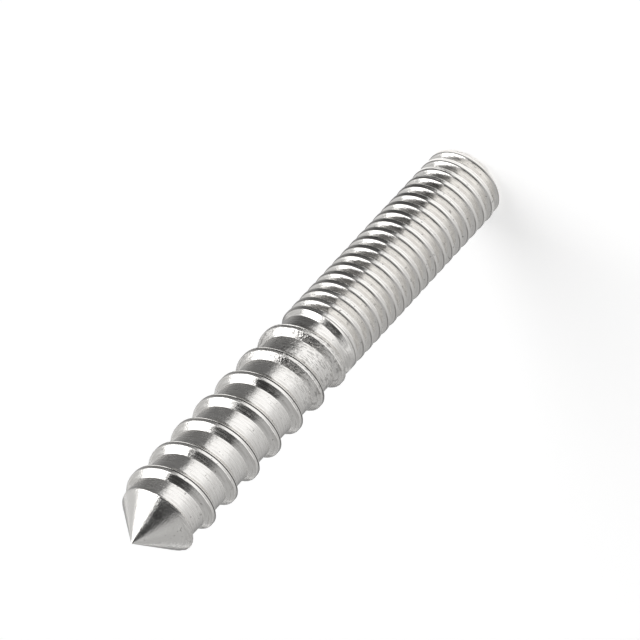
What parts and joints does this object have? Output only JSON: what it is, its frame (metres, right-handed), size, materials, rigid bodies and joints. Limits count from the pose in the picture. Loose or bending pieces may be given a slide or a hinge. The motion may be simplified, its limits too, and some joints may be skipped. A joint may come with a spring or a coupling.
{
  "type": "hanger bolt",
  "caption": "Headless steel fastener with a machine thread at one end and a coarse wood screw thread with a sharp point at the other.",
  "frame": {"origin": "centre of the flat machine end, on the surface the bolt stands on", "axes": "+Z along the bolt's axis, from the flat machine end to the point"},
  "size_m": [0.0062, 0.0062, 0.041],
  "materials": {
    "steel": "bright rolled steel with fine marks round the axis and a soft polish on the crests"
  },
  "bodies": {
    "root": {"hanger_bolt": "steel"}
  },
  "joints": []
}
